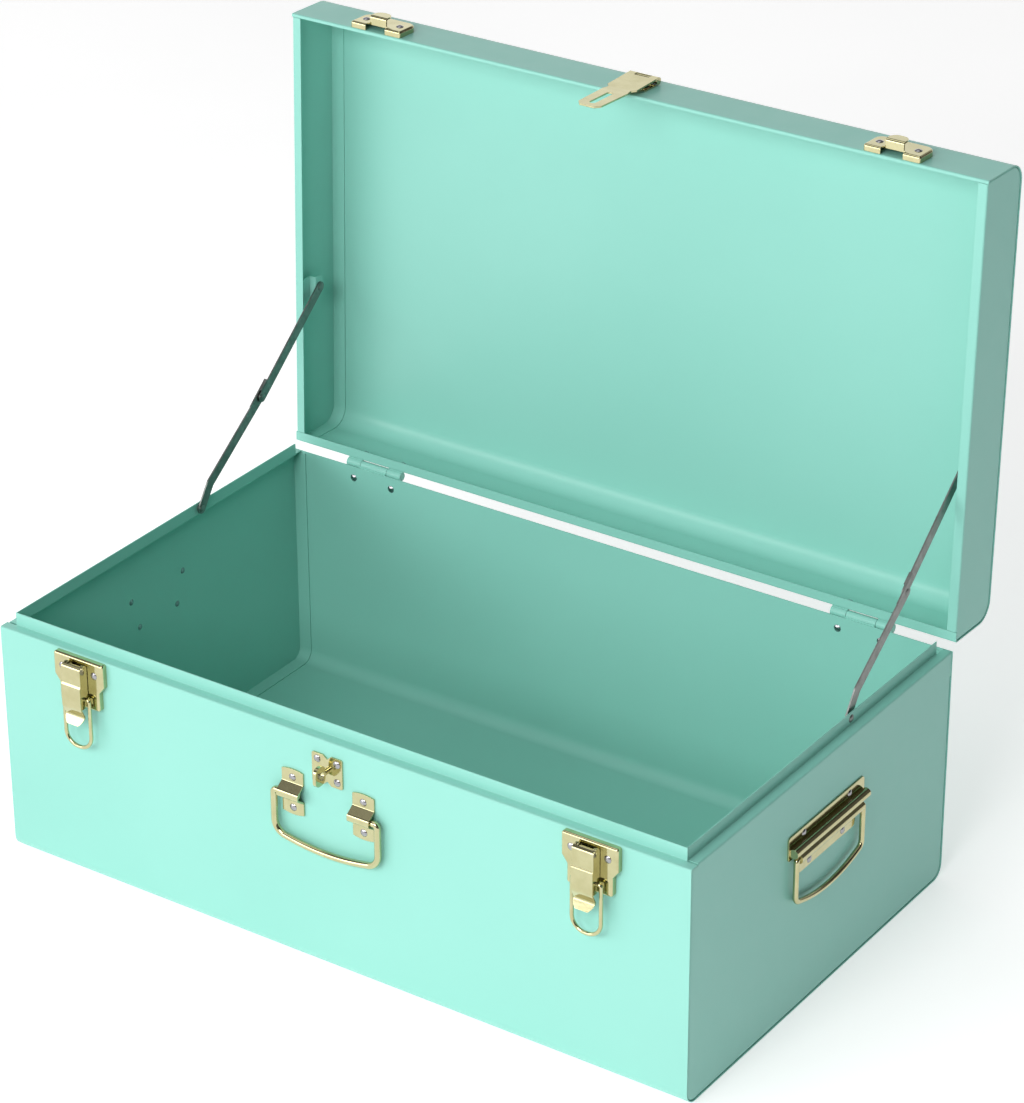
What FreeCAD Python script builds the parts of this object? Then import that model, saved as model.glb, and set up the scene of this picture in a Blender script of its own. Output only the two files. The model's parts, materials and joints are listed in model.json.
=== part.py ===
import FreeCAD, Part
import math
import os

# Metal storage trunk standing with its lid open, in millimetres
# X runs to the right, Y to the back and Z up; the origin is the middle of the tray's underside
# Lid pieces are drawn with the lid shut and then turned open about the hinge line

# Tray and lid
width = 600.0
depth = 358.0
tray_height = 191.5
lid_height = 50.8
lid_open_angle = 91.8

# Sheet metal
sheet = 0.8
tight_bend = 0.6
bottom_bend = 11.0
lid_bend = 15.0
ledge_width = 8.5
lip_height = 10.0
lip_rear_space = 9.75
corner_gap = 0.3
panel_recess = 0.4
panel_fit = 0.1
panel_flange = 12.0
panel_edge = 1.6
panel_overlap = 20.0
rim_gap = 0.3
rim_clearance = 0.5
rear_return = 8.0
front_hem = 2.5

# Rivets
rivet_shank = 1.9
rivet_head = 3.0
rivet_rise = 1.2
rivet_tail = 2.5
rivet_tail_rise = 0.6
rivet_fit = 0.05
drill_reach = 16.0

# Running fits
running_fit = 0.06
end_play = 0.1

# Hinges
hinge_inset = 78.0
hinge_length = 52.0
hinge_middle = 25.0
hinge_barrel = 3.5
hinge_pin = 2.2
hinge_plate = 1.2
hinge_leaf = 18.0
hinge_standoff = 4.2
hinge_rise = 1.0
hinge_rivet_inset = 7.8
hinge_rivet_reach = 11.0
knuckle_gap = 0.3
knuckle_clearance = 0.4

# Folding stays
stay_foot_y = 46.0
stay_foot_rise = 5.0
stay_head_y = 48.3
stay_head_rise = 16.1
stay_lower_share = 0.5
stay_width = 8.5
stay_plate = 1.2
stay_collar = 1.3
stay_gap = 0.3
stay_crank_along = 20.0
stay_crank_offset = 5.8
stay_shank = 2.0
stay_head = 3.2
stay_head_height = 1.2
stay_outer_head = 2.8
stay_outer_head_height = 0.9
stop_start = 3.0
stop_end = 13.0
stop_gap = 0.4
stop_plate = 1.2
bracket_plate = 1.0
bracket_foot = 4.7
bracket_half = 9.0
bracket_lip_space = 1.8
bracket_above_lip = 1.6
bracket_margin = 5.4
bracket_corner = 4.0

# Draw latches on the tray, measured down from the tray's rim
latch_inset = 77.5
latch_drop = 1.0
latch_upper = 18.5
latch_taper = 6.0
latch_tall = 39.5
latch_half = 23.0
latch_narrowing = 4.5
latch_depth = 5.0
latch_sheet = 1.2
latch_corner = 2.0
latch_edge = 1.8
latch_rivet_inset = 8.3
latch_rivet_drop = 10.0
lever_axis_drop = 5.0
lever_pin = 1.5
ear_radius = 2.6
ear_gap = 0.5
lever_half = 8.7
lever_cheek_radius = 3.0
lever_gap = 0.5
lever_top = 0.8
lever_curl_gap = 0.5
lever_curl_lean = 41.0
lever_curl_bend = 1.0
lever_upper = 12.5
lever_step = 1.4
lever_heel_drop = 32.0
lever_waist_drop = 39.5
lever_tip_drop = 45.5
lever_face = 13.4
lever_lower_face = 14.4
lever_waist = 10.6
lever_tip = 14.8
lever_tip_flat = 0.8
lever_heel_bend = 6.0
lever_waist_bend = 2.0
bail_axis_drop = 25.0
bail_wire = 1.5
bail_rivet_gap = 0.5
bail_side_gap = 1.6
bail_flat = 0.8
bail_end_bend = 2.0
bail_end_cover = 1.0

# Catch plates on the lid, measured up from the lid's rim
catch_rise = 1.2
catch_tall = 23.0
catch_half = 23.0
catch_depth = 5.0
catch_corner = 7.0
catch_rivet_rise = 10.5
catch_rivet_inset = 7.5
hook_rise = 4.0
hook_tall = 11.0
hook_half = 7.5
hook_window_gap = 1.5
hook_tip_flat = 1.0
hook_bend = 1.0
hook_seat_play = 0.1
hook_front_play = 0.3

# Hasp on the lid, measured from the lid's rim
hasp_half = 12.6
hasp_plate = 1.2
hasp_leaf_rise = 12.2
hasp_axis_rise = 29.7
hasp_axis_gap = 0.4
hasp_barrel = 2.8
hasp_pin = 1.5
hasp_knuckle_half = 6.0
hasp_window = 3.2
hasp_rivet_inset = 4.5
hasp_rivet_rise = 6.5
hasp_rivet_head_rise = 0.9
strap_bend_drop = 3.3
strap_tail_out = 4.4
strap_tail_length = 44.0
strap_neck_inset = 2.8
strap_neck_drop = 3.0
strap_shoulder_inset = 1.8
strap_tail_inset = 2.7
strap_end_inset = 6.4
strap_end_slope = 4.5
strap_bend = 6.0
strap_slot_margin = 6.0
strap_slot_length = 27.0
strap_slot_half = 2.5

# Turning staple on the tray
staple_drop = 23.0
staple_half = 13.2
staple_half_height = 12.0
staple_plate = 1.2
staple_notch_half = 3.5
staple_notch = 3.0
staple_corner = 1.5
staple_rivet_inset = 4.7
staple_stem = 2.3
staple_root = 0.8
staple_neck = 4.8
staple_tab_length = 11.5
staple_tab_half = 7.6
staple_tab_half_thickness = 1.3
staple_tab_corner = 4.7
staple_eye_out = 8.6
staple_eye = 2.5
staple_washer = 4.2
staple_washer_thickness = 1.2

# Front handle
bracket_drop = 32.0
bracket_tall = 37.2
bracket_width = 18.8
bracket_sheet = 1.3
bracket_end_bow = 1.4
bracket_hump_drop = 18.5
bracket_apex = 8.6
bracket_slope = 35.0
bracket_slope_gap = 0.3
bracket_nose_bend = 1.2
bracket_rivet_drop = 6.7
bracket_rivet_rise = 5.7
bracket_side_gap = 2.4
handle_wire = 2.6
handle_half = 45.4
handle_leg = 34.5
handle_sag = 8.5
handle_corner = 11.0
handle_straight = 4.0
handle_end_bend = 3.2
handle_pin_inset = 2.0

# Side handles
side_plate = 1.2
side_drop = 41.2
side_tall = 35.2
side_overhang = 6.0
side_step_drop = 18.8
side_step_corner = 1.5
side_narrowing = 4.0
side_corner = 3.0
side_rivet_high_inset = 20.5
side_rivet_high_drop = 5.0
side_rivet_low_inset = 16.5
side_rivet_low_rise = 4.6
side_bead = 3.7
side_bead_gap = 0.4
side_bead_out = 4.2
side_bead_drop = 19.3
side_bead_pitch = 7.2
side_rib_inset = 1.5
side_wire = 2.1
side_handle_half = 46.0
side_leg = 34.2
side_sag = 14.0
side_handle_corner = 6.0
side_straight = 4.0
side_end_bend = 2.3
side_pin_length = 13.0

# Positions that follow from the sizes
tiny = 1e-6
half_width = width / 2
front = -depth / 2
rear = depth / 2
rim_z = tray_height + rim_gap
lid_top = rim_z + lid_height
panel_outer = half_width - panel_recess
panel_inset = sheet + panel_fit
lip_x = half_width - ledge_width
hinge_x = half_width - hinge_inset
hinge_y = rear + hinge_standoff
hinge_z = tray_height + hinge_rise
hinge_rivet_half = hinge_length / 2 - hinge_rivet_inset
lower_outer = lip_x - sheet - stay_collar
lower_inner = lower_outer - stay_plate
upper_outer = lower_inner - stay_gap
upper_inner = upper_outer - stay_plate
foot_z = tray_height + stay_foot_rise
head_z = rim_z + stay_head_rise

latch_x = half_width - latch_inset
latch_top = tray_height - latch_drop
latch_step = latch_top - latch_upper
latch_bottom = latch_top - latch_tall
latch_foot_half = latch_half - latch_narrowing
latch_rivet_half = latch_half - latch_rivet_inset
latch_rivet_z = latch_top - latch_rivet_drop
lever_axis_z = latch_top - lever_axis_drop
lever_axis_out = latch_depth + lever_gap + lever_cheek_radius
lever_curl_radius = ear_radius + lever_curl_gap + latch_sheet
lever_crown_out = lever_axis_out + lever_curl_radius * math.cos(math.radians(lever_curl_lean))
lever_crown_z = lever_axis_z + lever_curl_radius * math.sin(math.radians(lever_curl_lean))
lever_top_z = lever_axis_z + lever_top
lever_joint_z = lever_axis_z - lever_upper
lever_heel_z = lever_axis_z - lever_heel_drop
lever_waist_z = lever_axis_z - lever_waist_drop
lever_tip_z = lever_axis_z - lever_tip_drop
lever_tip_corner = lever_half - lever_tip_flat
ear_half = lever_half - latch_sheet - ear_gap
bail_axis_z = lever_axis_z - bail_axis_drop
bail_axis_out = latch_depth + rivet_rise + bail_rivet_gap + bail_wire
bail_half = lever_half + bail_wire + bail_side_gap
bail_corner = bail_half - bail_flat

catch_low = rim_z + catch_rise
catch_high = catch_low + catch_tall
catch_rivet_z = catch_low + catch_rivet_rise
catch_rivet_half = catch_half - catch_rivet_inset
hook_floor = catch_low + hook_rise
hook_tip = hook_floor + hook_tall
hook_corner = min(hook_half, hook_tall) - hook_tip_flat
hook_window_half = hook_half + hook_window_gap
hook_reach = bail_axis_out + bail_wire + hook_front_play + latch_sheet
bail_inside = bail_corner - bail_wire
hook_overlap = min(max(hook_half - bail_half + bail_corner, 0), bail_inside)
bail_lift = bail_inside - math.sqrt(bail_inside**2 - hook_overlap**2)
hook_seat_z = hook_floor + latch_sheet + bail_wire + hook_seat_play + bail_lift
bail_length = hook_seat_z - bail_axis_z

hasp_leaf_low = rim_z + hasp_leaf_rise
hasp_axis_z = rim_z + hasp_axis_rise
hasp_axis_out = hasp_barrel + hasp_axis_gap
hasp_rivet_z = hasp_leaf_low + hasp_rivet_rise
hasp_rivet_half = hasp_half - hasp_rivet_inset
strap_bend_z = rim_z - strap_bend_drop
strap_end_z = strap_bend_z - strap_tail_length
strap_slot_low = strap_end_z + strap_slot_margin
strap_slot_high = strap_slot_low + strap_slot_length
strap_neck = hasp_half - strap_neck_inset
strap_shoulder = hasp_half - strap_shoulder_inset
strap_tail_half = hasp_half - strap_tail_inset
strap_end_half = hasp_half - strap_end_inset
staple_z = tray_height - staple_drop
staple_rivet_x = staple_half - staple_rivet_inset
staple_rivet_rise = staple_half_height - staple_rivet_inset

bracket_x = handle_half - handle_wire - bracket_side_gap - bracket_width / 2
bracket_top = tray_height - bracket_drop
bracket_low = bracket_top - bracket_tall
bracket_hump_z = bracket_top - bracket_hump_drop
bracket_rivet_high = bracket_top - bracket_rivet_drop
bracket_rivet_low = bracket_low + bracket_rivet_rise
handle_axis_out = bracket_apex - bracket_sheet - handle_wire - running_fit
handle_corner_z = bracket_hump_z - handle_leg
handle_low_z = handle_corner_z - handle_sag
slope = math.radians(bracket_slope)
slope_away = handle_wire + bracket_slope_gap + bracket_sheet
nose_half = (slope_away - (bracket_apex - handle_axis_out) * math.sin(slope)) / math.cos(slope)
hump_half = (slope_away - (bracket_sheet - handle_axis_out) * math.sin(slope)) / math.cos(slope)

side_top_z = tray_height - side_drop
side_bottom_z = side_top_z - side_tall
side_top_half = side_handle_half + side_overhang
side_rivet_high_half = side_top_half - side_rivet_high_inset
side_rivet_high_z = side_top_z - side_rivet_high_drop
side_rivet_low_z = side_bottom_z + side_rivet_low_rise
side_step_z = side_top_z - side_step_drop
side_rib_half = side_top_half - side_rib_inset
side_bead_half = side_handle_half - side_wire - side_bead_gap
side_bottom_half = side_bead_half - side_narrowing
side_rivet_low_half = side_bottom_half - side_rivet_low_inset
side_bead_low_z = side_top_z - side_bead_drop
side_bead_high_z = side_bead_low_z + side_bead_pitch
side_handle_corner_z = side_bead_low_z - side_leg
side_handle_low_z = side_handle_corner_z - side_sag

X = FreeCAD.Vector(1, 0, 0)
Y = FreeCAD.Vector(0, 1, 0)
Z = FreeCAD.Vector(0, 0, 1)
hinge_line = FreeCAD.Vector(0, hinge_y, hinge_z)


def at(x, y, z):
    return FreeCAD.Vector(x, y, z)


def on_front(x, out, z):
    """Point standing out from the front face."""
    return at(x, front - out, z)


def on_side(out, y, z):
    """Point standing out from the right end panel."""
    return at(panel_outer + out, y, z)


def box(x0, x1, y0, y1, z0, z1):
    return Part.makeBox(x1 - x0, y1 - y0, z1 - z0, at(x0, y0, z0))


def drill(place, axis, radius):
    """Cylinder centred on a place, long enough to pass one wall."""
    return Part.makeCylinder(radius, drill_reach, place - axis * (drill_reach / 2), axis)


def mirrored(shape):
    return shape.mirror(at(0, 0, 0), X)


def turned_open(shape):
    return shape.rotated(hinge_line, X, -lid_open_angle)


def save(name, shape):
    shape.exportStep("parts/" + name + ".step")


def path_edges(points, radii):
    """Straight edges through the points, each inner corner rounded to its radius."""
    edges = []
    start = points[0]
    for a, b, c, radius in zip(points, points[1:], points[2:], radii):
        back = (a - b).normalize()
        ahead = (c - b).normalize()
        half = back.getAngle(ahead) / 2
        if radius > 0 and half < math.pi / 2 - tiny:
            inward = (back + ahead).normalize()
            enter = b + back * (radius / math.tan(half))
            leave = b + ahead * (radius / math.tan(half))
            crown = b + inward * (radius / math.sin(half) - radius)
            if (enter - start).Length > tiny:
                edges.append(Part.makeLine(start, enter))
            edges.append(Part.Arc(enter, crown, leave).toShape())
            start = leave
        else:
            edges.append(Part.makeLine(start, b))
            start = b
    if (points[-1] - start).Length > tiny:
        edges.append(Part.makeLine(start, points[-1]))
    return edges


def face_of(edges):
    return Part.Face(Part.Wire(Part.__sortEdges__(edges)))


def plate_face(points, radii):
    """Flat outline with each corner rounded to its radius."""
    start = (points[-1] + points[0]) * 0.5
    return face_of(path_edges([start] + points + [start], radii))


def strip_face(points, bends, thickness, normal):
    """Edge-on outline of a bent sheet that lies to the left of its points; bends are inside radii."""
    sides = [normal.cross((b - a).normalize()) for a, b in zip(points, points[1:])]
    shifted = [points[0] + sides[0] * thickness]
    for point, before, after in zip(points[1:], sides, sides[1:]):
        shifted.append(point + (before + after) * (thickness / (1 + before.dot(after))))
    shifted.append(points[-1] + sides[-1] * thickness)
    near = []
    far = []
    for a, b, c, bend in zip(points, points[1:], points[2:], bends):
        to_left = (b - a).cross(c - b).dot(normal) > 0
        near.append(bend + thickness if to_left else bend)
        far.append(bend if to_left else bend + thickness)
    edges = path_edges(points, near) + path_edges(shifted, far)
    edges.append(Part.makeLine(points[0], shifted[0]))
    edges.append(Part.makeLine(points[-1], shifted[-1]))
    return face_of(edges)


def rod(points, bends, radius):
    """Round wire bent along the points."""
    spine = Part.Wire(path_edges(points, bends))
    end = Part.Wire(Part.makeCircle(radius, points[0], points[1] - points[0]))
    return spine.makePipeShell([end], True, True)


def bow_radius(half, sag, corner, straight):
    """Radius that curves a sagging bar from one corner to the other, but for a short straight at each end."""
    slope_down = math.atan2(sag, half)
    corner_reach = corner * math.tan(math.pi / 4 - slope_down / 2)
    return (math.hypot(half, sag) - corner_reach - straight) / math.tan(slope_down)


def dome(radius, rise, level, away):
    """Arc from the rim of a rounded head to its crown, on the chosen side of its level."""
    ball = (radius * radius + rise * rise) / (2 * rise)
    half = math.asin(radius / ball) / 2
    crown = level + away * rise
    middle = crown - away * (ball - ball * math.cos(half))
    points = (at(radius, 0, level), at(ball * math.sin(half), 0, middle), at(0, 0, crown))
    return Part.Arc(*points).toShape()


def rivet(place, axis, sections, head, head_rise, tail, tail_rise):
    """Rivet turned about its axis: head, plain sections running back from it, then the tail."""
    corners = [at(head, 0, 0)]
    level = 0.0
    for radius, length in sections:
        corners.append(at(radius, 0, level))
        level -= length
        corners.append(at(radius, 0, level))
    edges = [dome(head, head_rise, 0.0, 1)]
    last = at(0, 0, level)
    if tail_rise > 0:
        corners.append(at(tail, 0, level))
        edges.append(dome(tail, tail_rise, level, -1))
        last = at(0, 0, level - tail_rise)
    else:
        corners.append(last)
    for a, b in zip(corners, corners[1:]):
        edges.append(Part.makeLine(a, b))
    edges.append(Part.makeLine(last, at(0, 0, head_rise)))
    shape = face_of(edges).revolve(at(0, 0, 0), Z, 360)
    shape.Placement = FreeCAD.Placement(place, FreeCAD.Rotation(Z, axis))
    return shape


def sheet_rivet(place, axis, grip, rise=rivet_rise):
    return rivet(place, axis, [(rivet_shank, grip)], rivet_head, rise, rivet_tail, rivet_tail_rise)


def drilled(shape, places, axis, radius=rivet_shank + rivet_fit):
    for place in places:
        shape = shape.cut(drill(place, axis, radius))
    return shape


# Places of the rivets
sides = (-1, 1)
latch_rivet_places = [
    on_front(s * latch_x + u * latch_rivet_half, latch_depth, latch_rivet_z) for s in sides for u in sides
]
catch_rivet_places = [
    on_front(s * latch_x + u * catch_rivet_half, catch_depth, catch_rivet_z) for s in sides for u in sides
]
hasp_rivet_places = [on_front(u * hasp_rivet_half, hasp_plate, hasp_rivet_z) for u in sides]
staple_rivet_places = [
    on_front(u * staple_rivet_x, staple_plate, staple_z + v * staple_rivet_rise) for u in sides for v in sides
]
bracket_rivet_places = [
    on_front(u * bracket_x, bracket_sheet, z) for u in sides for z in (bracket_rivet_high, bracket_rivet_low)
]
side_rivet_places = [on_side(side_plate, u * side_rivet_high_half, side_rivet_high_z) for u in sides]
side_rivet_places += [on_side(side_plate, u * side_rivet_low_half, side_rivet_low_z) for u in sides]
hinge_rivet_xs = [s * hinge_x + u * hinge_rivet_half for s in sides for u in sides]
hinge_tray_places = [at(x, rear - sheet, hinge_z - hinge_rivet_reach) for x in hinge_rivet_xs]
hinge_lid_places = [at(x, rear - sheet, hinge_z + hinge_rivet_reach) for x in hinge_rivet_xs]
staple_place = on_front(0, 0, staple_z)
foot_place = at(lip_x, stay_foot_y, foot_z)


def tray_wrapper():
    """Front wall, floor and rear wall in one bent sheet, with the front ledge and lip."""
    left = -half_width
    points = [
        at(left, front + ledge_width, tray_height + lip_height),
        at(left, front + ledge_width, tray_height),
        at(left, front, tray_height),
        at(left, front, 0),
        at(left, rear, 0),
        at(left, rear, tray_height),
    ]
    inside = bottom_bend - sheet
    shape = strip_face(points, [tight_bend, tight_bend, inside, inside], sheet, X).extrude(X * width)
    ledge_end = front + ledge_width - tight_bend
    for s in sides:
        ends = sorted((s * lip_x, s * (half_width + ledge_width)))
        low = tray_height - ledge_width
        high = tray_height + 2 * lip_height
        shape = shape.cut(box(ends[0], ends[1], ledge_end, ledge_end + ledge_width, low, high))
    places = latch_rivet_places + staple_rivet_places + bracket_rivet_places + hinge_tray_places
    shape = drilled(shape, places, Y)
    return drilled(shape, [staple_place], Y, staple_stem + running_fit)


def dished_panel(face, away, level_edge):
    """Panel with rounded outer edges, drawn inward by the flange width; one edge is left square."""
    shape = face.extrude(X * -panel_flange)
    edges = []
    for edge in shape.Edges:
        on_outside = all(abs(v.X - panel_outer) < tiny for v in edge.Vertexes)
        if on_outside and away * (edge.CenterOfMass.z - level_edge) > tiny:
            edges.append(edge)
    return shape.makeFillet(panel_edge, edges)


def tray_face(inset, top, x):
    points = [at(x, front + inset, top), at(x, front + inset, inset), at(x, rear - inset, inset)]
    points.append(at(x, rear - inset, top))
    corner = bottom_bend - inset
    return plate_face(points, [0, corner, corner, 0])


def tray_end():
    """Right end panel: flanged on three edges, with the side ledge and lip along its top."""
    top = tray_height - panel_inset - tight_bend
    shape = dished_panel(tray_face(panel_inset, top, panel_outer), -1, top)
    hollow = tray_face(panel_inset + sheet, tray_height + panel_overlap, panel_outer - sheet)
    shape = shape.cut(hollow.extrude(X * -panel_flange))
    start = front + ledge_width + sheet + corner_gap
    end = rear - panel_inset
    points = [
        at(lip_x, start, tray_height + lip_height),
        at(lip_x, start, tray_height),
        at(panel_outer, start, tray_height),
        at(panel_outer, start, tray_height - panel_overlap),
    ]
    brim = strip_face(points, [tight_bend, tight_bend], sheet, Y).extrude(Y * (end - start))
    lip_end = rear - lip_rear_space
    low = tray_height - ledge_width
    high = tray_height + 2 * lip_height
    brim = brim.cut(box(lip_x - ledge_width, lip_x + tight_bend, lip_end, rear, low, high))
    shape = shape.fuse(brim).removeSplitter()
    shape = drilled(shape, side_rivet_places, X)
    return drilled(shape, [foot_place], X, stay_shank + rivet_fit)


def lid_wrapper():
    """Front skirt, top and rear skirt in one bent sheet, turned in along both rims."""
    left = -half_width
    points = [
        at(left, front + front_hem, rim_z),
        at(left, front, rim_z),
        at(left, front, lid_top),
        at(left, rear, lid_top),
        at(left, rear, rim_z),
        at(left, rear - rear_return, rim_z),
    ]
    inside = lid_bend - sheet
    shape = strip_face(points, [tight_bend, inside, inside, tight_bend], sheet, -X).extrude(X * width)
    return drilled(shape, catch_rivet_places + hasp_rivet_places + hinge_lid_places, Y)


def lid_face(inset, base, x):
    points = [at(x, front + inset, base), at(x, front + inset, lid_top - inset)]
    points += [at(x, rear - inset, lid_top - inset), at(x, rear - inset, base)]
    corner = lid_bend - inset
    return plate_face(points, [0, corner, corner, 0])


def lid_end():
    """Right end panel of the lid: flanged on three edges and turned in along the rim."""
    base = rim_z + panel_inset + tight_bend
    shape = dished_panel(lid_face(panel_inset, base, panel_outer), 1, base)
    hollow = lid_face(panel_inset + sheet, rim_z - panel_overlap, panel_outer - sheet)
    shape = shape.cut(hollow.extrude(X * -panel_flange))
    start = front + front_hem + corner_gap
    end = rear - rear_return - corner_gap
    points = [
        at(lip_x + rim_clearance, start, rim_z),
        at(panel_outer, start, rim_z),
        at(panel_outer, start, rim_z + panel_overlap),
    ]
    rim = strip_face(points, [tight_bend], sheet, -Y).extrude(Y * (end - start))
    return shape.fuse(rim).removeSplitter()


def hinge_ring(x0, x1):
    return Part.makeCylinder(hinge_barrel, x1 - x0, at(x0, hinge_y, hinge_z), X)


def hinge_leaf_shape(places, up, own, other, bore):
    """One leaf of the right hinge: plate on the rear face and its own knuckles round the pin."""
    x0 = hinge_x - hinge_length / 2
    x1 = hinge_x + hinge_length / 2
    ends = sorted((hinge_z, hinge_z + up * hinge_leaf))
    shape = box(x0, x1, rear, rear + hinge_plate, ends[0], ends[1])
    space = hinge_barrel + knuckle_clearance
    for a, b in other:
        shape = shape.cut(box(a, b, rear - space, hinge_y + space, hinge_z - space, hinge_z + space))
    for a, b in own:
        shape = shape.fuse(hinge_ring(a, b))
    shape = shape.removeSplitter()
    shape = shape.cut(Part.makeCylinder(bore, hinge_length, at(x0, hinge_y, hinge_z), X))
    return drilled(shape, places, Y)


def hinges():
    x0 = hinge_x - hinge_length / 2
    x1 = hinge_x + hinge_length / 2
    m0 = hinge_x - hinge_middle / 2
    m1 = hinge_x + hinge_middle / 2
    outer = [(x0, m0 - knuckle_gap), (m1 + knuckle_gap, x1)]
    around_outer = [(x0, m0), (m1, x1)]
    around_middle = [(m0 - knuckle_gap, m1 + knuckle_gap)]
    tray_leaf = hinge_leaf_shape(hinge_tray_places, -1, [(m0, m1)], around_outer, hinge_pin + rivet_fit)
    lid_leaf = hinge_leaf_shape(hinge_lid_places, 1, outer, around_middle, hinge_pin + running_fit)
    pin = Part.makeCylinder(hinge_pin, hinge_length, at(x0, hinge_y, hinge_z), X)
    save("hinge_tray_leaf_right", tray_leaf)
    save("hinge_tray_leaf_left", mirrored(tray_leaf))
    save("hinge_lid_leaf_right", turned_open(lid_leaf))
    save("hinge_lid_leaf_left", turned_open(mirrored(lid_leaf)))
    save("hinge_pin_right", pin)
    save("hinge_pin_left", mirrored(pin))
    grip = sheet + hinge_plate
    tray_rivets = Part.makeCompound([sheet_rivet(p, -Y, grip) for p in hinge_tray_places])
    lid_rivets = Part.makeCompound([sheet_rivet(p, -Y, grip) for p in hinge_lid_places])
    save("hinge_tray_rivets", tray_rivets)
    save("hinge_lid_rivets", turned_open(lid_rivets))


def bar(x, a, b, thickness):
    """Flat link with round ends between two places, lying outward from its inner face."""
    along = (b - a).normalize()
    side = X.cross(along) * (stay_width / 2)
    lift = X * x
    corners = [a + side + lift, b + side + lift, b - side + lift, a - side + lift]
    body = Part.Face(Part.makePolygon(corners + corners[:1])).extrude(X * thickness)
    for place in (a, b):
        body = body.fuse(Part.makeCylinder(stay_width / 2, thickness, place + lift, X))
    return body


def stays():
    foot = at(0, stay_foot_y, foot_z)
    head_part = Part.Vertex(at(0, stay_head_y, head_z))
    head = turned_open(head_part).Point
    along = (head - foot).normalize()
    upward = X.cross(along)
    elbow = foot + (head - foot) * stay_lower_share
    crank = foot + along * stay_crank_along + upward * stay_crank_offset

    lower = bar(lower_inner, foot, crank, stay_plate).fuse(bar(lower_inner, crank, elbow, stay_plate))
    edge = stay_width / 2 + stop_gap
    ear = [elbow, elbow + along * stop_end, elbow + along * stop_end + upward * (edge + stop_plate)]
    ear.append(elbow + upward * (edge + stop_plate) - along * stop_end)
    ear.append(elbow - along * stop_end)
    ear = [p + X * lower_inner for p in ear]
    lower = lower.fuse(Part.Face(Part.makePolygon(ear + ear[:1])).extrude(X * stay_plate))
    tab = [elbow + along * s + upward * edge for s in (stop_start, stop_end)]
    tab += [p + upward * stop_plate for p in reversed(tab)]
    tab = [p + X * upper_inner for p in tab]
    lower = lower.fuse(Part.Face(Part.makePolygon(tab + tab[:1])).extrude(X * (lower_outer - upper_inner)))
    lower = lower.removeSplitter()
    lower = drilled(lower, [foot + X * lower_inner], X, stay_shank + running_fit)
    lower = lower.cut(Part.makeCylinder(stay_shank + rivet_fit, stay_plate, elbow + X * lower_inner, X))

    upper = bar(upper_inner, elbow, head, stay_plate).removeSplitter()
    upper = drilled(upper, [head + X * upper_inner], X, stay_shank + running_fit)
    upper = drilled(upper, [elbow + X * upper_inner], X, stay_shank + rivet_fit)

    foot_sections = [(stay_shank, sheet), (stay_head, stay_collar - end_play)]
    foot_sections.append((stay_shank, stay_plate + 2 * end_play))
    foot_rivet = rivet(
        foot_place, X, foot_sections, stay_head, stay_head_height, stay_head, stay_head_height
    )
    lower_half = rivet(
        elbow + X * lower_outer, X, [(stay_shank, stay_plate)], stay_outer_head, stay_outer_head_height, 0, 0
    )
    upper_half = rivet(
        elbow + X * upper_inner, -X, [(stay_shank, stay_plate)], stay_head, stay_head_height, 0, 0
    )

    # Bracket bent up from the lid rim and over the tray lip
    shelf = tray_height + lip_height + bracket_above_lip
    leg = lip_x + bracket_lip_space
    start = stay_head_y - bracket_half
    top = head_z + bracket_margin
    points = [
        at(leg + bracket_foot, start, rim_z + sheet),
        at(leg, start, rim_z + sheet),
        at(leg, start, shelf),
        at(lower_inner, start, shelf),
        at(lower_inner, start, top),
    ]
    bends = [tight_bend, tight_bend, tight_bend]
    bracket = strip_face(points, bends, bracket_plate, Y).extrude(Y * (2 * bracket_half))
    corners = []
    for e in bracket.Edges:
        if all(abs(v.Z - top) < tiny for v in e.Vertexes) and abs(e.Length - bracket_plate) < tiny:
            corners.append(e)
    bracket = bracket.makeFillet(bracket_corner, corners)
    head_place = at(lower_inner, stay_head_y, head_z)
    bracket = drilled(bracket, [head_place], X, stay_shank + rivet_fit)
    head_sections = [(stay_shank, bracket_plate + stay_gap + stay_plate + end_play)]
    head_rivet = rivet(
        head_place + X * bracket_plate,
        X,
        head_sections,
        stay_outer_head,
        stay_outer_head_height,
        stay_head,
        stay_head_height,
    )
    pieces = {
        "stay_lower": lower,
        "stay_upper": upper,
        "stay_foot_rivet": foot_rivet,
        "stay_elbow_rivet_lower": lower_half,
        "stay_elbow_rivet_upper": upper_half,
        "stay_bracket": turned_open(bracket),
        "stay_head_rivet": turned_open(head_rivet),
    }
    for name, shape in pieces.items():
        save(name + "_right", shape)
        save(name + "_left", mirrored(shape))


def front_edges(shape, out):
    """Edges lying flat on a level in front of the front face."""
    level = front - out
    return [e for e in shape.Edges if all(abs(v.Y - level) < tiny for v in e.Vertexes)]


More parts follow.
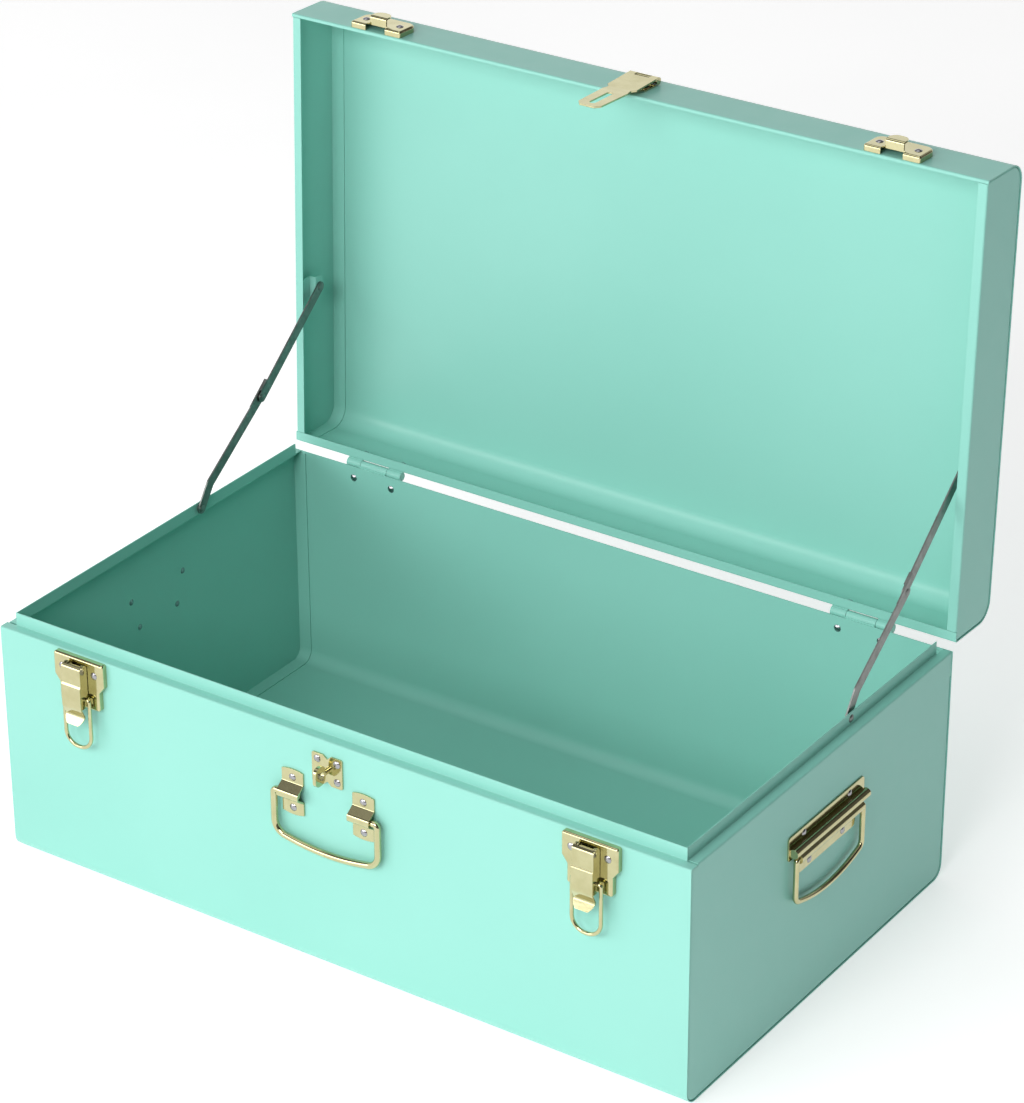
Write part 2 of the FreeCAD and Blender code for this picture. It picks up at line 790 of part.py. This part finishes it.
def latch_base():
    """Dished plate of the right latch with the two ears that carry the lever pin."""
    outline = [(latch_half, latch_top), (-latch_half, latch_top), (-latch_half, latch_step)]
    outline += [(-latch_foot_half, latch_step - latch_taper), (-latch_foot_half, latch_bottom)]
    outline += [(latch_foot_half, latch_bottom), (latch_foot_half, latch_step - latch_taper)]
    outline += [(latch_half, latch_step)]
    points = [on_front(latch_x + u, latch_depth, z) for u, z in outline]
    shape = plate_face(points, [latch_corner] * len(points)).extrude(Y * latch_depth)
    shape = shape.makeFillet(latch_edge, front_edges(shape, latch_depth))
    back = front - latch_depth + latch_sheet
    for half, low, high in ((latch_half, latch_step, latch_top), (latch_foot_half, latch_bottom, latch_top)):
        inside = half - latch_sheet
        hollow = box(latch_x - inside, latch_x + inside, back, front, low + latch_sheet, high - latch_sheet)
        shape = shape.cut(hollow)
    for s in sides:
        x0 = latch_x + s * ear_half - (latch_sheet if s > 0 else 0)
        root = front - latch_depth + latch_sheet / 2
        face = front - lever_axis_out
        low = lever_axis_z - ear_radius
        shape = shape.fuse(box(x0, x0 + latch_sheet, face, root, low, lever_axis_z))
        axis = on_front(x0, lever_axis_out, lever_axis_z)
        shape = shape.fuse(Part.makeCylinder(ear_radius, latch_sheet, axis, X))
    shape = shape.removeSplitter()
    axis = on_front(latch_x - latch_half, lever_axis_out, lever_axis_z)
    shape = shape.cut(Part.makeCylinder(lever_pin + rivet_fit, 2 * latch_half, axis, X))
    return drilled(shape, latch_rivet_places, Y)


def latch_lever():
    """Channel-shaped lever of the right latch, with a flared finger end."""
    left = latch_x - lever_half
    profile = [(lever_crown_out, lever_crown_z), (lever_face, lever_top_z), (lever_face, lever_joint_z)]
    profile += [(lever_lower_face, lever_joint_z - lever_step), (lever_lower_face, lever_heel_z)]
    profile += [(lever_waist, lever_waist_z), (lever_tip, lever_tip_z)]
    points = [on_front(left, out, z) for out, z in profile]
    bends = [lever_curl_bend, 0, 0, lever_heel_bend, lever_waist_bend]
    web = strip_face(points, bends, latch_sheet, X).extrude(X * (2 * lever_half))
    outline = [(lever_half, lever_crown_z), (-lever_half, lever_crown_z)]
    outline += [(-lever_half, lever_tip_z - latch_sheet), (lever_half, lever_tip_z - latch_sheet)]
    corners = [on_front(latch_x + u, 2 * lever_tip, z) for u, z in outline]
    blank = plate_face(corners, [0, 0, lever_tip_corner, lever_tip_corner]).extrude(Y * (2 * lever_tip))
    shape = web.common(blank)
    back = lever_axis_out - lever_cheek_radius
    inner = lever_face - latch_sheet / 2
    low_inner = lever_lower_face - latch_sheet / 2
    cheek = [(inner, lever_top_z), (lever_axis_out, lever_top_z), (lever_axis_out, lever_axis_z)]
    cheek += [(back, lever_axis_z), (back, bail_axis_z), (lever_axis_out, lever_heel_z)]
    cheek += [(low_inner, lever_heel_z), (low_inner, lever_joint_z - lever_step), (inner, lever_joint_z)]
    for x0 in (left, latch_x + lever_half - latch_sheet):
        points = [on_front(x0, out, z) for out, z in cheek]
        shape = shape.fuse(plate_face(points, [0] * len(points)).extrude(X * latch_sheet))
        axis = on_front(x0, lever_axis_out, lever_axis_z)
        shape = shape.fuse(Part.makeCylinder(lever_cheek_radius, latch_sheet, axis, X))
    shape = shape.removeSplitter()
    for out, z, radius in (
        (lever_axis_out, lever_axis_z, lever_pin + running_fit),
        (bail_axis_out, bail_axis_z, bail_wire + running_fit),
    ):
        shape = shape.cut(Part.makeCylinder(radius, 2 * lever_half, on_front(left, out, z), X))
    return shape


def latch_bail():
    """Wire loop of the right latch, hanging from the lever."""
    tip = lever_half - latch_sheet - bail_end_cover
    low = bail_axis_z - bail_length
    path = [(-tip, bail_axis_z), (-bail_half, bail_axis_z), (-bail_half, low)]
    path += [(bail_half, low), (bail_half, bail_axis_z), (tip, bail_axis_z)]
    points = [on_front(latch_x + u, bail_axis_out, z) for u, z in path]
    bends = [bail_end_bend, bail_corner, bail_corner, bail_end_bend]
    return rod(points, bends, bail_wire)


def catch_plate():
    """Raised plate of the right catch with its upturned hook."""
    outline = [(catch_half, catch_high), (-catch_half, catch_high)]
    outline += [(-catch_half, catch_low), (catch_half, catch_low)]
    points = [on_front(latch_x + u, catch_depth, z) for u, z in outline]
    radii = [catch_corner, catch_corner, latch_corner, latch_corner]
    shape = plate_face(points, radii).extrude(Y * catch_depth)
    shape = shape.makeFillet(latch_edge, front_edges(shape, catch_depth))
    inside = catch_half - latch_sheet
    hollow_outline = [(inside, catch_high - latch_sheet), (-inside, catch_high - latch_sheet)]
    hollow_outline += [(-inside, catch_low + latch_sheet), (inside, catch_low + latch_sheet)]
    points = [on_front(latch_x + u, catch_depth - latch_sheet, z) for u, z in hollow_outline]
    radii = [catch_corner - latch_sheet, catch_corner - latch_sheet, 0, 0]
    shape = shape.cut(plate_face(points, radii).extrude(Y * catch_depth))
    x0 = latch_x - hook_window_half
    x1 = latch_x + hook_window_half
    window = box(x0, x1, front - hook_reach, front + sheet, catch_low - sheet, hook_floor)
    shape = shape.cut(window)
    profile = [(catch_depth - latch_sheet, hook_floor), (hook_reach, hook_floor), (hook_reach, hook_tip)]
    points = [on_front(latch_x - hook_half, out, z) for out, z in profile]
    hook = strip_face(points, [hook_bend], latch_sheet, -X).extrude(X * (2 * hook_half))
    outline = [(hook_half, hook_floor), (hook_half, hook_tip)]
    outline += [(-hook_half, hook_tip), (-hook_half, hook_floor)]
    points = [on_front(latch_x + u, hook_reach, z) for u, z in outline]
    hook = hook.common(plate_face(points, [0, hook_corner, hook_corner, 0]).extrude(Y * hook_reach))
    shape = shape.fuse(hook).removeSplitter()
    return drilled(shape, catch_rivet_places, Y)


def latches():
    base = latch_base()
    lever = latch_lever()
    bail = latch_bail()
    reach = lever_half + end_play
    pin = Part.makeCylinder(lever_pin, 2 * reach, on_front(latch_x - reach, lever_axis_out, lever_axis_z), X)
    catch = turned_open(catch_plate())
    pieces = {"latch_base": base, "latch_lever": lever, "latch_bail": bail, "latch_pin": pin, "catch": catch}
    for name, shape in pieces.items():
        save(name + "_right", shape)
        save(name + "_left", mirrored(shape))
    grip = latch_depth + sheet
    save("latch_rivets", Part.makeCompound([sheet_rivet(p, -Y, grip) for p in latch_rivet_places]))
    grip = catch_depth + sheet
    catch_rivets = Part.makeCompound([sheet_rivet(p, -Y, grip) for p in catch_rivet_places])
    save("catch_rivets", turned_open(catch_rivets))


def hasp_ring(x0, x1):
    return Part.makeCylinder(hasp_barrel, x1 - x0, on_front(x0, hasp_axis_out, hasp_axis_z), X)


def hasp_leaf():
    """Fixed leaf with the middle knuckle."""
    space = hasp_barrel + knuckle_clearance
    wing = hasp_knuckle_half + knuckle_gap
    shape = box(-hasp_half, hasp_half, front - hasp_plate, front, hasp_leaf_low, hasp_axis_z)
    for s in sides:
        ends = sorted((s * hasp_knuckle_half, s * (hasp_half + wing)))
        cleared = box(ends[0], ends[1], front - space, front, hasp_axis_z - space, hasp_axis_z)
        shape = shape.cut(cleared)
    shape = shape.fuse(hasp_ring(-hasp_knuckle_half, hasp_knuckle_half)).removeSplitter()
    bore = on_front(-hasp_half, hasp_axis_out, hasp_axis_z)
    shape = shape.cut(Part.makeCylinder(hasp_pin + rivet_fit, 2 * hasp_half, bore, X))
    return drilled(shape, hasp_rivet_places, Y)


def hasp_strap():
    """Swinging strap with the outer knuckles, a bend at the lid rim and the long slot."""
    top_out = hasp_axis_out + hasp_barrel
    profile = [(top_out, hasp_axis_z), (strap_tail_out, strap_bend_z), (strap_tail_out, strap_end_z)]
    points = [on_front(-hasp_half, out, z) for out, z in profile]
    sheet_shape = strip_face(points, [strap_bend], hasp_plate, X).extrude(X * (2 * hasp_half))
    half_outline = [(hasp_half, hasp_axis_z + hasp_plate), (hasp_half, strap_bend_z + strap_neck_drop)]
    half_outline += [(strap_neck, strap_bend_z), (strap_neck, strap_bend_z - strap_neck_drop)]
    half_outline += [(strap_shoulder, strap_bend_z - 2 * strap_neck_drop)]
    half_outline += [(strap_tail_half, strap_end_z + strap_end_slope), (strap_end_half, strap_end_z)]
    outline = half_outline + [(-u, z) for u, z in reversed(half_outline)]
    points = [on_front(u, 2 * top_out, z) for u, z in outline]
    shape = sheet_shape.common(plate_face(points, [0] * len(points)).extrude(Y * (2 * top_out)))
    wing = hasp_knuckle_half + knuckle_gap
    top = hasp_axis_z + hasp_barrel
    window = box(-wing, wing, front - 2 * top_out, front, hasp_axis_z - hasp_barrel - hasp_window / 2, top)
    shape = shape.cut(window)
    for x0, x1 in ((-hasp_half, -wing), (wing, hasp_half)):
        shape = shape.fuse(hasp_ring(x0, x1))
    shape = shape.removeSplitter()
    bore = on_front(-hasp_half, hasp_axis_out, hasp_axis_z)
    shape = shape.cut(Part.makeCylinder(hasp_pin + running_fit, 2 * hasp_half, bore, X))
    slot = [(strap_slot_half, strap_slot_high), (-strap_slot_half, strap_slot_high)]
    slot += [(-strap_slot_half, strap_slot_low), (strap_slot_half, strap_slot_low)]
    points = [on_front(u, 2 * top_out, z) for u, z in slot]
    corner = strap_slot_half - end_play
    return shape.cut(plate_face(points, [corner] * len(points)).extrude(Y * (2 * top_out)))


def staple():
    """Notched plate and the turning staple whose tab passes the strap's slot."""
    notch = staple_half_height - staple_notch
    half_outline = [(staple_notch_half, staple_half_height), (staple_half, staple_half_height)]
    half_outline += [(staple_half, -staple_half_height), (staple_notch_half, -staple_half_height)]
    outline = [(0, notch)] + half_outline + [(0, -notch)]
    outline += [(-u, v) for u, v in reversed(half_outline)]
    points = [on_front(u, staple_plate, staple_z + v) for u, v in outline]
    radii = [0, 0, staple_corner, staple_corner, 0, 0, 0, staple_corner, staple_corner, 0]
    plate = plate_face(points, radii).extrude(Y * staple_plate)
    plate = drilled(plate, staple_rivet_places, Y)
    plate = drilled(plate, [staple_place], Y, staple_stem + running_fit)
    save("staple_plate", plate)
    rivets = [sheet_rivet(p, -Y, staple_plate + sheet) for p in staple_rivet_places]
    save("staple_rivets", Part.makeCompound(rivets))

    inside = sheet + end_play
    stem_length = staple_neck + inside + staple_washer_thickness
    stem_start = on_front(0, -inside - staple_washer_thickness, staple_z)
    stem = Part.makeCylinder(staple_stem, stem_length + staple_root, stem_start, -Y)
    washer = Part.makeCylinder(staple_washer, staple_washer_thickness, stem_start, -Y)
    tab = [(staple_neck, staple_tab_half), (staple_neck, -staple_tab_half)]
    tab += [(staple_neck + staple_tab_length, -staple_tab_half)]
    tab += [(staple_neck + staple_tab_length, staple_tab_half)]
    left = -staple_tab_half_thickness
    points = [on_front(left, out, staple_z + v) for out, v in tab]
    plate = plate_face(points, [staple_tab_corner] * len(points)).extrude(X * (2 * staple_tab_half_thickness))
    shape = stem.fuse(washer).fuse(plate).removeSplitter()
    eye = Part.makeCylinder(staple_eye, 2 * staple_half, on_front(-staple_half, staple_eye_out, staple_z), X)
    save("turn_staple", shape.cut(eye))


def hasp():
    save("hasp_leaf", turned_open(hasp_leaf()))
    save("hasp_strap", turned_open(hasp_strap()))
    pin_start = on_front(-hasp_half, hasp_axis_out, hasp_axis_z)
    save("hasp_pin", turned_open(Part.makeCylinder(hasp_pin, 2 * hasp_half, pin_start, X)))
    rivets = [sheet_rivet(p, -Y, hasp_plate + sheet, hasp_rivet_head_rise) for p in hasp_rivet_places]
    save("hasp_rivets", turned_open(Part.makeCompound(rivets)))


def front_handle():
    """Two humped brackets holding the ends of the front bail."""
    x0 = bracket_x - bracket_width / 2
    x1 = bracket_x + bracket_width / 2
    profile = [(bracket_sheet, bracket_top), (bracket_sheet, bracket_hump_z + hump_half)]
    profile += [(bracket_apex, bracket_hump_z + nose_half), (bracket_apex, bracket_hump_z - nose_half)]
    profile += [(bracket_sheet, bracket_hump_z - hump_half), (bracket_sheet, bracket_low)]
    points = [on_front(x0, out, z) for out, z in profile]
    bends = [bracket_sheet, bracket_nose_bend, bracket_nose_bend, bracket_sheet]
    bracket = strip_face(points, bends, bracket_sheet, X).extrude(X * bracket_width)
    outline = []
    shoulders = [bracket_top - bracket_end_bow, bracket_low + bracket_end_bow]
    for crown, shoulder in zip((bracket_top, bracket_low), shoulders):
        arc = [on_front(u, bracket_apex, z) for u, z in ((x0, shoulder), (bracket_x, crown), (x1, shoulder))]
        outline.append(Part.Arc(*arc).toShape())
    for x in (x0, x1):
        outline.append(Part.makeLine(*[on_front(x, bracket_apex, z) for z in shoulders]))
    bracket = bracket.common(face_of(outline).extrude(Y * bracket_apex))
    bracket = drilled(bracket, bracket_rivet_places, Y)
    save("front_handle_bracket_right", bracket)
    save("front_handle_bracket_left", mirrored(bracket))
    tip = x0 + handle_pin_inset
    path = [(-tip, bracket_hump_z), (-handle_half, bracket_hump_z), (-handle_half, handle_corner_z)]
    path += [(0, handle_low_z)]
    path += [(-u, z) for u, z in reversed(path[:-1])]
    points = [on_front(u, handle_axis_out, z) for u, z in path]
    bow = bow_radius(handle_half, handle_sag, handle_corner, handle_straight)
    bends = [handle_end_bend, handle_corner, bow, handle_corner, handle_end_bend]
    save("front_handle_bail", rod(points, bends, handle_wire))
    rivets = [sheet_rivet(p, -Y, bracket_sheet + sheet) for p in bracket_rivet_places]
    save("front_handle_rivets", Part.makeCompound(rivets))


def side_handle():
    """Plate on the right end with a pressed rib above a rolled bead, and the bail held in the bead."""
    half_outline = [(side_top_half, side_top_z), (side_top_half, side_step_z), (side_bead_half, side_step_z)]
    half_outline += [(side_bottom_half, side_bottom_z)]
    outline = half_outline + [(-y, z) for y, z in reversed(half_outline)]
    points = [on_side(side_plate, y, z) for y, z in outline]
    radii = [side_corner, side_step_corner, side_step_corner, side_corner]
    plate = plate_face(points, radii + radii[::-1]).extrude(X * -side_plate)
    for half, z in ((side_bead_half, side_bead_low_z), (side_rib_half, side_bead_high_z)):
        plate = plate.fuse(Part.makeCylinder(side_bead, 2 * half, on_side(side_bead_out, -half, z), Y))
    plate = plate.removeSplitter()
    start = on_side(side_bead_out, -side_bead_half, side_bead_low_z)
    plate = plate.cut(Part.makeCylinder(side_wire + running_fit, 2 * side_bead_half, start, Y))
    plate = drilled(plate, side_rivet_places, X)
    tip = side_handle_half - side_pin_length
    path = [(-tip, side_bead_low_z), (-side_handle_half, side_bead_low_z)]
    path += [(-side_handle_half, side_handle_corner_z), (0, side_handle_low_z)]
    path += [(-y, z) for y, z in reversed(path[:-1])]
    points = [on_side(side_bead_out, y, z) for y, z in path]
    bow = bow_radius(side_handle_half, side_sag, side_handle_corner, side_straight)
    bends = [side_end_bend, side_handle_corner, bow, side_handle_corner, side_end_bend]
    bail = rod(points, bends, side_wire)
    rivets = [sheet_rivet(p, X, side_plate + sheet) for p in side_rivet_places]
    rivets += [mirrored(r) for r in rivets]
    save("side_handle_plate_right", plate)
    save("side_handle_plate_left", mirrored(plate))
    save("side_handle_bail_right", bail)
    save("side_handle_bail_left", mirrored(bail))
    save("side_handle_rivets", Part.makeCompound(rivets))


os.makedirs("parts", exist_ok=True)
save("tray_wrapper", tray_wrapper())
end_panel = tray_end()
save("tray_end_right", end_panel)
save("tray_end_left", mirrored(end_panel))
save("lid_wrapper", turned_open(lid_wrapper()))
lid_panel = lid_end()
save("lid_end_right", turned_open(lid_panel))
save("lid_end_left", turned_open(mirrored(lid_panel)))
hinges()
stays()
latches()
hasp()
staple()
front_handle()
side_handle()
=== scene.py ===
import bpy
import json
import math
from mathutils import Matrix, Vector

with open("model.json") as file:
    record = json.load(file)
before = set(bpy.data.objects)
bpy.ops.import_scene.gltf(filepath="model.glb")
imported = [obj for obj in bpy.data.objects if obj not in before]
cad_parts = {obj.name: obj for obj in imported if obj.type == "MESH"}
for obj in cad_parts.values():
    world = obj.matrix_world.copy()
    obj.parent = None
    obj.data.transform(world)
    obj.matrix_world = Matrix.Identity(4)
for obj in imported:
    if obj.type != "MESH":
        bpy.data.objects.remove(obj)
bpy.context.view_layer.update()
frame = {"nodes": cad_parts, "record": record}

nodes = frame["nodes"]
scene = bpy.context.scene
slot_of = {p["node"]: p["material_slot"] for p in frame["record"]["subparts"]}


# Usual range of a noise texture's values
NOISE_LOW = 0.25
NOISE_HIGH = 0.75


def fill_ramp(node, stops):
    """Give a colour ramp its stops, as pairs of position and colour."""
    elements = node.color_ramp.elements
    while len(elements) < len(stops):
        elements.new(0.5)
    for element, (position, colour) in zip(elements, stops):
        element.position = position
        element.color = (*colour, 1.0)


class Graph:
    """Builds the nodes of one material."""

    def __init__(self, name):
        self.material = bpy.data.materials.new(name)
        self.material.use_nodes = True
        self.tree = self.material.node_tree
        self.shader = self.tree.nodes["Principled BSDF"]
        self.place = self.add("ShaderNodeTexCoord").outputs["Object"]

    def add(self, kind, **values):
        node = self.tree.nodes.new(kind)
        for key, value in values.items():
            setattr(node, key, value)
        return node

    def link(self, a, b):
        self.tree.links.new(a, b)

    def stretched(self, x, y, z):
        node = self.add("ShaderNodeMapping")
        node.inputs["Scale"].default_value = (x, y, z)
        self.link(self.place, node.inputs["Vector"])
        return node.outputs["Vector"]

    def noise(self, scale, detail=3.0, rough=0.55, vector=None):
        node = self.add("ShaderNodeTexNoise")
        node.inputs["Scale"].default_value = scale
        node.inputs["Detail"].default_value = detail
        node.inputs["Roughness"].default_value = rough
        self.link(vector or self.place, node.inputs["Vector"])
        return node.outputs["Fac"]

    def ramp(self, source, stops):
        node = self.add("ShaderNodeValToRGB")
        fill_ramp(node, stops)
        self.link(source, node.inputs["Fac"])
        return node.outputs["Color"]

    def span(self, source, low, high):
        node = self.add("ShaderNodeMapRange")
        node.inputs["From Min"].default_value = NOISE_LOW
        node.inputs["From Max"].default_value = NOISE_HIGH
        node.inputs["To Min"].default_value = low
        node.inputs["To Max"].default_value = high
        self.link(source, node.inputs["Value"])
        return node.outputs["Result"]

    def bump(self, source, strength, distance, soft_edge):
        node = self.add("ShaderNodeBump")
        node.inputs["Strength"].default_value = strength
        node.inputs["Distance"].default_value = distance
        self.link(source, node.inputs["Height"])
        bevel = self.add("ShaderNodeBevel", samples=4)
        bevel.inputs["Radius"].default_value = soft_edge
        self.link(bevel.outputs["Normal"], node.inputs["Normal"])
        self.link(node.outputs["Normal"], self.shader.inputs["Normal"])

    def set(self, **values):
        for key, value in values.items():
            self.shader.inputs[key.replace("_", " ")].default_value = value


# Materials of the trunk
def mint_paint():
    g = Graph("mint_paint")
    drift = g.noise(scale=5.0, detail=2.0)
    colour = g.ramp(drift, [(0.3, (0.256, 0.592, 0.508)), (0.7, (0.272, 0.612, 0.528))])
    g.link(colour, g.shader.inputs["Base Color"])
    g.link(g.span(g.noise(scale=60.0, detail=2.0), low=0.33, high=0.41), g.shader.inputs["Roughness"])
    grain = g.noise(scale=750.0, detail=2.0, rough=0.5)
    g.bump(grain, strength=0.12, distance=0.00012, soft_edge=0.0005)
    g.set(Specular_IOR_Level=0.30, Coat_Weight=0.06, Coat_Roughness=0.18)
    return g.material


def brass_plate():
    g = Graph("brass_plate")
    drift = g.noise(scale=90.0)
    colour = g.ramp(drift, [(0.3, (0.50, 0.465, 0.255)), (0.7, (0.57, 0.535, 0.315))])
    g.link(colour, g.shader.inputs["Base Color"])
    streaks = g.noise(scale=120.0, rough=0.6, vector=g.stretched(1.0, 1.0, 9.0))
    g.link(g.span(streaks, low=0.07, high=0.14), g.shader.inputs["Roughness"])
    grain = g.noise(scale=420.0, detail=2.0)
    g.bump(grain, strength=0.10, distance=0.00010, soft_edge=0.0004)
    g.set(Metallic=1.0)
    return g.material


def rivet_steel():
    g = Graph("rivet_steel")
    drift = g.noise(scale=300.0, detail=2.0)
    colour = g.ramp(drift, [(0.3, (0.31, 0.305, 0.325)), (0.7, (0.40, 0.395, 0.415))])
    g.link(colour, g.shader.inputs["Base Color"])
    g.link(g.span(g.noise(scale=700.0, detail=2.0), low=0.14, high=0.24), g.shader.inputs["Roughness"])
    grain = g.noise(scale=900.0, detail=2.0)
    g.bump(grain, strength=0.15, distance=0.00008, soft_edge=0.0003)
    g.set(Metallic=1.0)
    return g.material


def stay_steel():
    g = Graph("stay_steel")
    drift = g.noise(scale=140.0)
    colour = g.ramp(drift, [(0.3, (0.17, 0.18, 0.17)), (0.7, (0.25, 0.26, 0.25))])
    g.link(colour, g.shader.inputs["Base Color"])
    g.link(g.span(g.noise(scale=260.0), low=0.28, high=0.45), g.shader.inputs["Roughness"])
    grain = g.noise(scale=600.0)
    g.bump(grain, strength=0.18, distance=0.00010, soft_edge=0.0003)
    g.set(Metallic=1.0)
    return g.material


materials = {
    "mint_paint": mint_paint(),
    "brass_plate": brass_plate(),
    "rivet_steel": rivet_steel(),
    "stay_steel": stay_steel(),
}
for name, node in nodes.items():
    node.data.materials.clear()
    node.data.materials.append(materials[slot_of[name]])


# Floor, a hair under the trunk
def floor_material():
    g = Graph("floor_pale")
    drift = g.noise(scale=1.5)
    colour = g.ramp(drift, [(0.3, (0.86, 0.86, 0.86)), (0.7, (0.89, 0.89, 0.89))])
    g.link(colour, g.shader.inputs["Base Color"])
    g.link(colour, g.shader.inputs["Emission Color"])
    g.set(Roughness=0.9, Specular_IOR_Level=0.1, Emission_Strength=0.49)
    return g.material


floor_reach = 9.0
floor_gap = 0.0004
corners = [(x * floor_reach, y * floor_reach, 0) for x, y in ((-1, -1), (1, -1), (1, 1), (-1, 1))]
mesh = bpy.data.meshes.new("floor")
mesh.from_pydata(corners, [], [(0, 1, 2, 3)])
floor = bpy.data.objects.new("floor", mesh)
floor.data.materials.append(floor_material())
floor.location.z = -floor_gap
scene.collection.objects.link(floor)

# Studio sky: brightness by height, times a strength that falls from left to right
sky_levels = [(0.0, 0.95), (0.48, 0.95), (0.57, 0.14), (0.80, 0.14), (0.90, 1.30), (1.0, 1.45)]
sky_across = {"From Min": -0.6, "From Max": 0.5, "To Min": 1.30, "To Max": 0.12}
world = bpy.data.worlds.new("studio")
world.use_nodes = True
sky = world.node_tree
backdrop = sky.nodes["Background"]
direction = sky.nodes.new("ShaderNodeTexCoord")
parts = sky.nodes.new("ShaderNodeSeparateXYZ")
height = sky.nodes.new("ShaderNodeValToRGB")
across = sky.nodes.new("ShaderNodeMapRange")
fill_ramp(height, [(position, (level, level, level)) for position, level in sky_levels])
for socket, value in sky_across.items():
    across.inputs[socket].default_value = value
sky.links.new(direction.outputs["Generated"], parts.inputs["Vector"])
sky.links.new(parts.outputs["Z"], height.inputs["Fac"])
sky.links.new(parts.outputs["X"], across.inputs["Value"])
sky.links.new(height.outputs["Color"], backdrop.inputs["Color"])
sky.links.new(across.outputs["Result"], backdrop.inputs["Strength"])
scene.world = world


def area_light(name, place, target, size, power):
    """Soft rectangular light turned towards a point."""
    data = bpy.data.lights.new(name, "AREA")
    data.shape = "RECTANGLE"
    data.size = size[0]
    data.size_y = size[1]
    data.energy = power
    lamp = bpy.data.objects.new(name, data)
    lamp.location = place
    lamp.rotation_euler = (Vector(target) - Vector(place)).to_track_quat("-Z", "Y").to_euler()
    scene.collection.objects.link(lamp)


area_light("key", place=(-2.3, -3.4, 1.4), target=(0.0, 0.0, 0.2), size=(3.0, 1.6), power=54.0)
area_light("fill", place=(0.4, -2.8, 2.0), target=(0.0, 0.1, 0.2), size=(1.6, 1.2), power=58.0)

# Camera, taken from the photograph's perspective
azimuth = math.radians(34.433)
elevation = math.radians(27.742)
roll = math.radians(-0.23)
aim_height = 0.150
distance = 2.932011
shift_right = 0.02841
shift_up = 0.100422
focal_pixels = 3981.071
picture_pixels = 1103.0
sensor = 36.0
near_clip = 0.05
flat = math.cos(elevation)
back = Vector((math.sin(azimuth) * flat, -math.cos(azimuth) * flat, math.sin(elevation)))
right = Vector((math.cos(azimuth), math.sin(azimuth), 0.0))
up = back.cross(right)
side = right * math.cos(roll) + up * math.sin(roll)
top = up * math.cos(roll) - right * math.sin(roll)
eye = Vector((0.0, 0.0, aim_height)) + back * distance + right * shift_right + up * shift_up
lens = bpy.data.cameras.new("camera")
lens.lens = focal_pixels * sensor / picture_pixels
lens.sensor_width = sensor
lens.clip_start = near_clip
camera = bpy.data.objects.new("camera", lens)
turn = Matrix((side, top, back)).transposed().to_4x4()
camera.matrix_world = Matrix.Translation(eye) @ turn
scene.collection.objects.link(camera)
scene.camera = camera
scene.view_settings.view_transform = "Standard"
